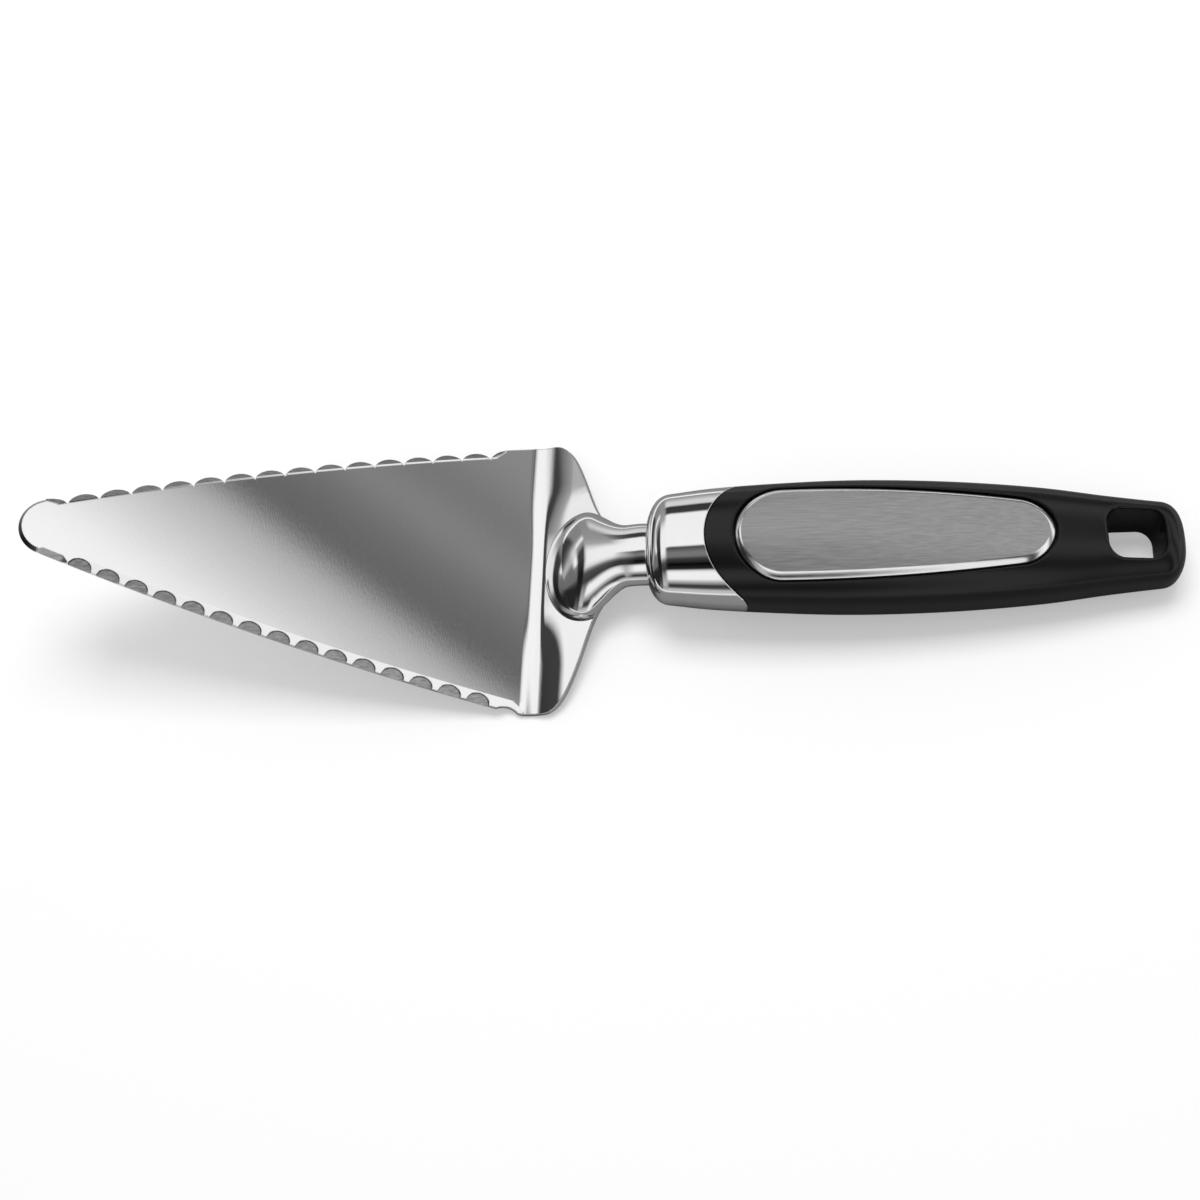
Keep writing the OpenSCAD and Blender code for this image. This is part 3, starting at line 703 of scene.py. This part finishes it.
def neck_mesh():
    slope = (cosd(SHOULDER_ANGLE), sind(SHOULDER_ANGLE))
    lift = DECK - FOOT_SINK
    foot_end = SHOULDER_LEN * FOOT_END_SHARE
    foot_run = foot_end - FOOT_NOSE

    def on_slope(s):
        return s * slope[0] - lift * slope[1], s * slope[1] + lift * slope[0]

    top = on_slope(foot_end)
    far = math.hypot(HANDLE_X, HANDLE_Z)
    w = math.degrees(math.atan2(HANDLE_Z, HANDLE_X)) + BLADE_TILT
    axis = (cosd(HANDLE_RISE), sind(HANDLE_RISE))
    up = (-axis[1], axis[0])
    end = (far * cosd(w) - NECK_DROP * up[0], far * sind(w) - NECK_DROP * up[1])
    neck_run = math.dist(end, top)
    pull = neck_run * PULL_SHARE
    a = (top[0] + pull * slope[0], top[1] + pull * slope[1])
    b = (end[0] - pull * axis[0], end[1] - pull * axis[1])
    stations = []
    for i in range(1, FOOT_STEPS + 1):
        q = foot_run * (i / FOOT_STEPS) ** FOOT_STEP_POWER
        stations.append((*on_slope(FOOT_NOSE + q), SHOULDER_ANGLE, *neck_size(q), SHEET_T))
    for i in range(1, NECK_STEPS + 1):
        t = i / NECK_STEPS
        ease = t * t * (3 - 2 * t)
        tilt = SHOULDER_ANGLE + (HANDLE_RISE - SHOULDER_ANGLE) * ease
        down = SHEET_T + (NECK_HALF_H - SHEET_T) * ease**UNDER_POWER
        size = neck_size(foot_run + neck_run * t)
        stations.append((*bezier((top, a, b, end), t), tilt, *size, down))
    inner = (end[0] + NECK_IN * axis[0], end[1] + NECK_IN * axis[1])
    stations.append((*inner, HANDLE_RISE, NECK_HALF_W, NECK_HALF_H, NECK_HALF_H))
    turns = [360 * i / NECK_POINTS for i in range(NECK_POINTS)]
    rings = []
    for x, z, tilt, half, high, down in stations:
        ring = [oval(half, high, down, NECK_POWER, w) for w in turns]
        rings.append([(x - sind(tilt) * h, v, z + cosd(tilt) * h) for v, h in ring])
    obj = loft("neck_forging", rings)
    half = HEEL_W / 2
    outline = [(0, -half), (SHOULDER_LEN, -half), (SHOULDER_LEN, half), (0, half)]
    box = prism("box", outline, -FOOT_H, DECK)
    box.data.transform(Matrix.Rotation(math.radians(-SHOULDER_ANGLE), 4, "Y"))
    cut(obj, box)
    return obj


# Ferrule and grip


def ferrule_mesh():
    obj = body("ferrule_shell", 0, JOINT_X - JOINT_R * FERRULE_BACK_SHARE, FERRULE_STEP)
    cut(obj, disc(0))
    cut(obj, core_bar(FERRULE_WALL, JOINT_X, FIT_GAP))
    half, high = NECK_HALF_W + FIT_GAP, NECK_HALF_H + FIT_GAP
    turns = [360 * i / OPENING_POINTS for i in range(OPENING_POINTS)]
    ring = [oval(half, high, high, NECK_POWER, w) for w in turns]
    ends = (-OVER, NECK_IN + FIT_GAP)
    cut(obj, loft("opening", [[(u, v, w - NECK_DROP) for v, w in ring] for u in ends]))
    return obj


def grip_mesh():
    obj = body("grip_shell", JOINT_NOSE - OVER, HANDLE_LEN, HANDLE_STEP)
    high, half = 3 * HANDLE_TOP, 2 * HANDLE_HALF_W
    end = JOINT_X - JOINT_R * GRIP_FRONT_SHARE
    front = prism("front", [(0, -half), (end, -half), (end, half), (0, half)], -high, high)
    cut(front, disc(FIT_GAP))
    cut(obj, front)
    cut(obj, core_bar(JOINT_NOSE - 2 * OVER, CORE_END + FIT_GAP, FIT_GAP))
    groove = grown(inlay_outline(GROOVE_POINTS), INLAY_GAP)
    floor = dome(groove, -INLAY_T - PAD_T - 2 * FILM_GAP, GROOVE_STEPS)
    cut(obj, lip_cutter(groove, GROOVE_LIP, floor))
    low, high = (HOLE_AT, -HOLE_W / 2), (HOLE_AT + HOLE_LEN, HOLE_W / 2)
    hole = even(round_rect(low, high, HOLE_R, HOLE_CORNER), HOLE_POINTS)
    cut(obj, lip_cutter(hole, HOLE_LIP))
    return obj


# Materials

# share of the tint at the clouds' darkest and lightest, and the clouds' scale and detail
METAL_TINTS, METAL_CLOUD = (0.94, 1.0), (45.0, 2.0)
BLACK_TINTS, BLACK_CLOUD = (0.85, 1.15), (60.0, 3.0)
# height in metres of the grain at full strength
GRAIN_HEIGHT = 0.0001
BLACK_SHINE, BLACK_DETAIL, BEVEL_SAMPLES = 0.33, 2.0, 6
PLAIN = (1, 1, 1)


def node(tree, kind, inputs=(), **settings):
    n = tree.nodes.new("ShaderNode" + kind)
    for key, value in settings.items():
        setattr(n, key, value)
    for key, value in dict(inputs).items():
        if isinstance(value, bpy.types.NodeSocket):
            tree.links.new(value, n.inputs[key])
        else:
            n.inputs[key].default_value = value
    return n


def fresh(name):
    m = bpy.data.materials.new(name)
    m.use_nodes = True
    tree = m.node_tree
    return m, tree, tree.nodes["Principled BSDF"]


def grain(tree, stretch, scale, detail=3.0):
    """Noise in object space, stretched by the three factors."""
    place_at = node(tree, "TexCoord").outputs["Object"]
    mapped = node(tree, "Mapping", {"Vector": place_at, "Scale": stretch}).outputs["Vector"]
    noise = node(tree, "TexNoise", {"Vector": mapped, "Scale": scale, "Detail": detail})
    return noise.outputs["Fac"]


def spanned(tree, value, low, high, start=0.3, end=0.7):
    return node(
        tree,
        "MapRange",
        {"Value": value, "From Min": start, "From Max": end, "To Min": low, "To Max": high},
    ).outputs["Result"]


def calc(tree, operation, a, b):
    """Result of an operation on two numbers."""
    return node(tree, "Math", {0: a, 1: b}, operation=operation).outputs[0]


def mixed(tree, share, a, b):
    mix = node(tree, "Mix", {"Factor": share, "A": a, "B": b}, data_type="RGBA")
    return mix.outputs["Result"]


def clouded(tree, cloud, tint, shares):
    """The tint, darker and lighter by these shares as the clouds go."""
    return mixed(tree, cloud, *(tuple(c * k for c in tint) + (1,) for k in shares))


def steel(name, tint, rough, stretch, scale, bump, edge, streak=0.02):
    """Metal whose colour, roughness and height vary in fine grain, with softened edges."""
    m, tree, shader = fresh(name)
    shader.inputs["Metallic"].default_value = 1.0
    fine = grain(tree, stretch, scale)
    colour = clouded(tree, grain(tree, PLAIN, *METAL_CLOUD), tint, METAL_TINTS)
    dark = spanned(tree, fine, 1 - streak, 1.0)
    shade = node(tree, "VectorMath", {0: colour, "Scale": dark}, operation="SCALE")
    tree.links.new(shade.outputs[0], shader.inputs["Base Color"])
    tree.links.new(spanned(tree, fine, *rough), shader.inputs["Roughness"])
    rounded = node(tree, "Bevel", {"Radius": edge * MM}, samples=BEVEL_SAMPLES)
    relief = {"Strength": bump, "Distance": GRAIN_HEIGHT, "Height": fine}
    relief["Normal"] = rounded.outputs["Normal"]
    tree.links.new(node(tree, "Bump", relief).outputs["Normal"], shader.inputs["Normal"])
    return m


def plastic(name, tint, rough, scale, bump):
    """Moulded black with a fine skin."""
    m, tree, shader = fresh(name)
    shader.inputs["Specular IOR Level"].default_value = BLACK_SHINE
    fine = grain(tree, PLAIN, scale, BLACK_DETAIL)
    cloud = grain(tree, PLAIN, *BLACK_CLOUD)
    colour = clouded(tree, cloud, tint, BLACK_TINTS)
    tree.links.new(colour, shader.inputs["Base Color"])
    tree.links.new(spanned(tree, cloud, *rough), shader.inputs["Roughness"])
    relief = {"Strength": bump, "Distance": GRAIN_HEIGHT, "Height": fine}
    tree.links.new(node(tree, "Bump", relief).outputs["Normal"], shader.inputs["Normal"])
    return m


BRIGHT = (0.90, 0.90, 0.905)
GROUND_ROUGH, GROUND = (0.34, 0.42), ((1, 12, 12), 200.0, 0.08)
BLADE_STEEL = steel(
    "blade_satin", (0.93, 0.93, 0.935), (0.035, 0.06), (6, 1, 1), 900.0, 0.02, 0.3
)
NECK_STEEL = steel("neck_polish", BRIGHT, (0.055, 0.08), PLAIN, 300.0, 0.01, 0.3)
CHROME = steel("bright_polish", BRIGHT, (0.012, 0.025), PLAIN, 300.0, 0.004, 0.3)
BRUSHED = steel(
    "inlay_brushed", (0.60, 0.60, 0.605), (0.40, 0.50), (1, 22, 22), 140.0, 0.1, 0.1, 0.28
)
RIM_STEEL = steel("inlay_rim", (0.92, 0.92, 0.925), (0.14, 0.20), (1, 6, 6), 300.0, 0.03, 0.1)
# one ground steel in lit and shaded copies: the near edge's tint is raised as painted light,
# the far edge's is lowered as painted shade
NEAR_EDGE_PAINTED_LIGHT = steel("near_edge_painted_light", (0.78, 0.78, 0.785), GROUND_ROUGH, *GROUND, 0.3, 0.4)
FAR_EDGE_PAINTED_SHADE = steel("far_edge_painted_shade", (0.42, 0.42, 0.425), GROUND_ROUGH, *GROUND, 0.3, 0.4)
# near-black steel as painted shade on the edge round the tip and on the walls of the hollows
DARK_EDGE_PAINTED_SHADE = steel("dark_edge_painted_shade", (0.12, 0.12, 0.121), (0.25, 0.32), *GROUND, 0.2)
INNER_STEEL = steel("ground_steel", (0.60, 0.60, 0.61), (0.3, 0.45), (1, 8, 8), 400.0, 0.1, 0.1)
GRIP_BLACK = plastic("grip_skin", (0.005, 0.005, 0.0052), (0.22, 0.28), 3500.0, 0.05)
INNER_BLACK = plastic("inner_black", (0.02, 0.02, 0.02), (0.5, 0.6), 1500.0, 0.1)

# Pieces, with the crease angles in degrees up to which they are shaded smooth

BLADE_CREASE, ROUND_CREASE, PLATE_CREASE = 24, 40, 50

# the blade's steels, with painted light and painted shade on its ground edges
edges = [BLADE_STEEL, NEAR_EDGE_PAINTED_LIGHT, FAR_EDGE_PAINTED_SHADE, DARK_EDGE_PAINTED_SHADE]
blade = place(blade_mesh(), IN_BLADE, edges, BLADE_CREASE, blade_part)
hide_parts("blade")
neck = place(neck_mesh(), IN_BLADE, [NECK_STEEL], ROUND_CREASE)
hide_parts("neck")
ferrule = place(ferrule_mesh(), IN_HANDLE, [CHROME], ROUND_CREASE)
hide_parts("ferrule")
grip = place(grip_mesh(), IN_HANDLE, [GRIP_BLACK], ROUND_CREASE)
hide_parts("grip")
plate = place(plate_mesh(), IN_HANDLE, [BRUSHED, RIM_STEEL], PLATE_CREASE, on_plate_rim)
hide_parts("inlay_plate")

for name, material in (
    ("tang", INNER_STEEL),
    ("tang_pins", INNER_STEEL),
    ("core", INNER_BLACK),
    ("inlay_pad", INNER_BLACK),
):
    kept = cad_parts[name]
    kept.data.materials.clear()
    kept.data.materials.append(material)


# Floor, light and camera


WHITE = (1, 1, 1, 1)
# the second tint is a painted shadow: the darker floor that polished metal sees near the object
FLOOR_TINT, PAINTED_SHADOW_TINT = (0.66, 0.66, 0.66, 1), (0.26, 0.26, 0.26, 1)
# the floor turns to the white of the backdrop as it gets farther away
FLOOR_GLOW, GLOW_NEAR_FAR = (0.34, 0.68), (0.4, 1.8)
# as polished metal shows it, the floor has a painted shadow round this place and is pale
# farther off
SHADE_AT, FLOOR_NEAR_FAR = (0.05, 0.0, 0.0), (0.10, 0.25)
FLOOR_HALF = 4


def floor_material():
    m, tree, shader = fresh("pale_floor")
    shader.inputs["Roughness"].default_value = 1.0
    shader.inputs["Specular IOR Level"].default_value = 0.0
    path = node(tree, "LightPath").outputs
    place_at = node(tree, "TexCoord").outputs["Object"]
    far_off = node(tree, "VectorMath", {0: place_at, 1: SHADE_AT}, operation="DISTANCE")
    reach = far_off.outputs["Value"]
    far = spanned(tree, reach, 0.0, 1.0, *FLOOR_NEAR_FAR)
    shiny = path["Is Glossy Ray"]
    far_shiny = calc(tree, "MULTIPLY", shiny, far)
    painted_shadow_share = calc(tree, "SUBTRACT", shiny, far_shiny)
    # near the object, polished metal sees the floor in the painted shadow's tint
    tree.links.new(mixed(tree, painted_shadow_share, FLOOR_TINT, PAINTED_SHADOW_TINT), shader.inputs["Base Color"])
    seen = calc(tree, "MAXIMUM", path["Is Camera Ray"], far_shiny)
    glow = spanned(tree, reach, *FLOOR_GLOW, *GLOW_NEAR_FAR)
    shader.inputs["Emission Color"].default_value = WHITE
    tree.links.new(calc(tree, "MULTIPLY", seen, glow), shader.inputs["Emission Strength"])
    return m


signs = ((-1, -1), (1, -1), (1, 1), (-1, 1))
floor = raw("floor", [(a * FLOOR_HALF, b * FLOOR_HALF, 0) for a, b in signs], [(0, 1, 2, 3)])
floor.data.materials.append(floor_material())

# brightness of the studio that polished metal shows, by degrees from the far horizon
ROUND_STUDIO = [
    (0, 0.30), (9, 0.42), (21, 0.75), (29, 0.72), (33, 0.04), (44, 0.05), (47, 0.98),
    (69.2, 1.0), (70.6, 0.06), (76, 0.20), (80, 0.20), (84, 0.05), (92, 0.002),
    (101, 0.02), (106, 0.85), (111, 1.0), (126, 0.97), (134, 0.50), (147, 0.05),
    (157, 0.06), (168, 0.55), (180, 0.60),
]
# the same where the direction leans to the tip, then more, and then most
TIP_STUDIO = [
    (0, 0.28), (30, 0.30), (42, 0.33), (50, 0.42), (55, 0.75), (59, 0.97), (73, 0.97),
    (79, 0.75), (84, 0.25), (89, 0.08), (102, 0.05), (114, 0.27), (126, 0.40),
    (138, 0.48), (150, 0.55), (162, 0.35), (174, 0.55), (180, 0.50),
]
LOW_TIP_STUDIO = [
    (0, 0.28), (12, 0.25), (28, 0.26), (33, 0.45), (37, 0.95), (39.5, 0.85),
    (42, 0.40), (46, 0.28), (49, 0.20), (52, 0.05), (60, 0.05), (66, 0.03),
    (84, 0.01), (120, 0.02), (140, 0.07), (168, 0.15), (180, 0.15),
]
END_STUDIO = [
    (0, 0.04), (18, 0.05), (26, 0.12), (33, 0.40), (38, 0.70), (46, 0.75), (50, 0.97),
    (60, 0.97), (63, 0.30), (70, 0.20), (86, 0.15), (94, 0.06), (104, 0.02), (180, 0.02),
]
LAST_STUDIO = [
    (0, 0.04), (18, 0.05), (28, 0.15), (36, 0.40), (44, 0.50), (50, 0.35), (56, 0.18),
    (86, 0.16), (94, 0.06), (104, 0.02), (180, 0.02),
]
# and where it leans to the butt, by the distance from the edge of the large lamp
LAMP_EDGE = [
    (-0.95, 0.05), (-0.90, 0.10), (-0.85, 0.60), (-0.80, 0.97), (-0.68, 0.90),
    (-0.635, 0.05), (-0.50, 0.04), (-0.42, 0.15), (-0.34, 0.90), (-0.20, 1.0),
    (-0.082, 1.0), (-0.063, 0.95), (-0.044, 0.76), (-0.024, 0.59), (-0.012, 0.50),
    (-0.003, 0.38), (0.005, 0.14), (0.012, 0.125), (0.036, 0.17), (0.057, 0.25),
    (0.080, 0.19), (0.11, 0.27), (0.18, 0.30), (0.26, 0.85), (0.50, 0.95),
    (0.60, 0.15), (0.95, 0.10),
]
# the edge of the large lamp is where the direction is square to this one
LAMP_SIDE = (0.3521, 0.7846, -0.5103)
# how far the direction leans to the butt where each of them starts to show, and is full
LAMP_LEAN, TIP_LEAN, LOW_TIP_LEAN = (-0.02, 0.12), (-0.28, -0.38), (-0.56, -0.61)
END_LEAN, LAST_LEAN = (-0.76, -0.80), (-0.825, -0.86)
# strength of the even light on the object, and of what metal and the camera see
SOFT_LIGHT, SEEN_LIGHT = 0.52, 1.0


def ramp(tree, value, table):
    """Brightness at a value, read from a table of values and their brightness."""
    low, high = table[0][0], table[-1][0]
    share = spanned(tree, value, 0.0, 1.0, low, high)
    n = node(tree, "ValToRGB", {"Fac": share})
    stops = n.color_ramp.elements
    while len(stops) < len(table):
        stops.new(0.5)
    for stop, (at, light) in zip(stops, table):
        stop.position = (at - low) / (high - low)
        stop.color = (light, light, light, 1)
    return n.outputs["Color"]


def studio():
    world = bpy.data.worlds.new("studio")
    world.use_nodes = True
    tree = world.node_tree
    tree.nodes.clear()
    way = node(tree, "TexCoord").outputs["Generated"]
    x, y, z = (node(tree, "SeparateXYZ", {"Vector": way}).outputs[k] for k in range(3))
    degrees = calc(tree, "MULTIPLY", calc(tree, "ARCTAN2", z, y), 180 / math.pi)
    around = ramp(tree, degrees, ROUND_STUDIO)
    edge = node(tree, "VectorMath", {0: way, 1: LAMP_SIDE}, operation="DOT_PRODUCT")
    for value, table, lean in (
        (edge.outputs["Value"], LAMP_EDGE, LAMP_LEAN),
        (degrees, TIP_STUDIO, TIP_LEAN),
        (degrees, LOW_TIP_STUDIO, LOW_TIP_LEAN),
        (degrees, END_STUDIO, END_LEAN),
        (degrees, LAST_STUDIO, LAST_LEAN),
    ):
        share = spanned(tree, x, 0.0, 1.0, *lean)
        around = mixed(tree, share, around, ramp(tree, value, table))
    path = node(tree, "LightPath").outputs
    soft = node(tree, "Background", {"Color": WHITE, "Strength": SOFT_LIGHT}).outputs[0]
    shine = node(tree, "Background", {"Color": around, "Strength": SEEN_LIGHT}).outputs[0]
    white = node(tree, "Background", {"Color": WHITE, "Strength": SEEN_LIGHT}).outputs[0]
    glossy = node(tree, "MixShader", {0: path["Is Glossy Ray"], 1: soft, 2: shine}).outputs[0]
    seen = node(tree, "MixShader", {0: path["Is Camera Ray"], 1: glossy, 2: white}).outputs[0]
    node(tree, "OutputWorld", {"Surface": seen})
    bpy.context.scene.world = world


studio()

# the soft lamp over the far side: watts, sides and place in metres
LAMP_POWER, LAMP_SIZE, LAMP_AT = 8.0, (0.7, 0.5), (0.02, 0.40, 1.08)

lamp_data = bpy.data.lights.new("key", "AREA")
lamp_data.shape = "RECTANGLE"
lamp_data.size, lamp_data.size_y = LAMP_SIZE
lamp_data.energy = LAMP_POWER
key = bpy.data.objects.new("key", lamp_data)
key.location = LAMP_AT
key.rotation_mode = "QUATERNION"
key.rotation_quaternion = Vector(key.location).to_track_quat("Z", "Y")
key.visible_glossy = False
bpy.context.scene.collection.objects.link(key)

view_settings = bpy.context.scene.view_settings
view_settings.view_transform = "Standard"

# the camera that was fitted to the photograph: degrees, millimetres and pixels
VIEW_AZ, VIEW_EL, VIEW_ROLL, VIEW_DIST = 19.1, 64.37, -19.26, 419.92
VIEW_TARGET = Vector((13.65, 0, -8.29))
PHOTO_SIDE, FOCAL_PIXELS, RISE_PIXELS = 1200, 1718.72, -8.53
SENSOR_WIDTH, CLIP_START, CLIP_END = 36.0, 0.01, 50.0


def camera():
    level = cosd(VIEW_EL)
    back = Vector((sind(VIEW_AZ) * level, -cosd(VIEW_AZ) * level, sind(VIEW_EL)))
    flat = Vector((cosd(VIEW_AZ), sind(VIEW_AZ), 0))
    rise = back.cross(flat)
    right = flat * cosd(VIEW_ROLL) + rise * sind(VIEW_ROLL)
    up = rise * cosd(VIEW_ROLL) - flat * sind(VIEW_ROLL)
    eye = (AT_REST @ (VIEW_TARGET + back * VIEW_DIST)) * MM
    data = bpy.data.cameras.new("camera")
    data.sensor_width = SENSOR_WIDTH
    data.lens = FOCAL_PIXELS / PHOTO_SIDE * SENSOR_WIDTH
    data.shift_y = RISE_PIXELS / PHOTO_SIDE
    data.clip_start, data.clip_end = CLIP_START, CLIP_END
    cam = bpy.data.objects.new("camera", data)
    cam.matrix_world = Matrix(
        [[right[k], up[k], back[k], eye[k]] for k in range(3)] + [[0, 0, 0, 1]]
    )
    bpy.context.scene.collection.objects.link(cam)
    bpy.context.scene.camera = cam


camera()
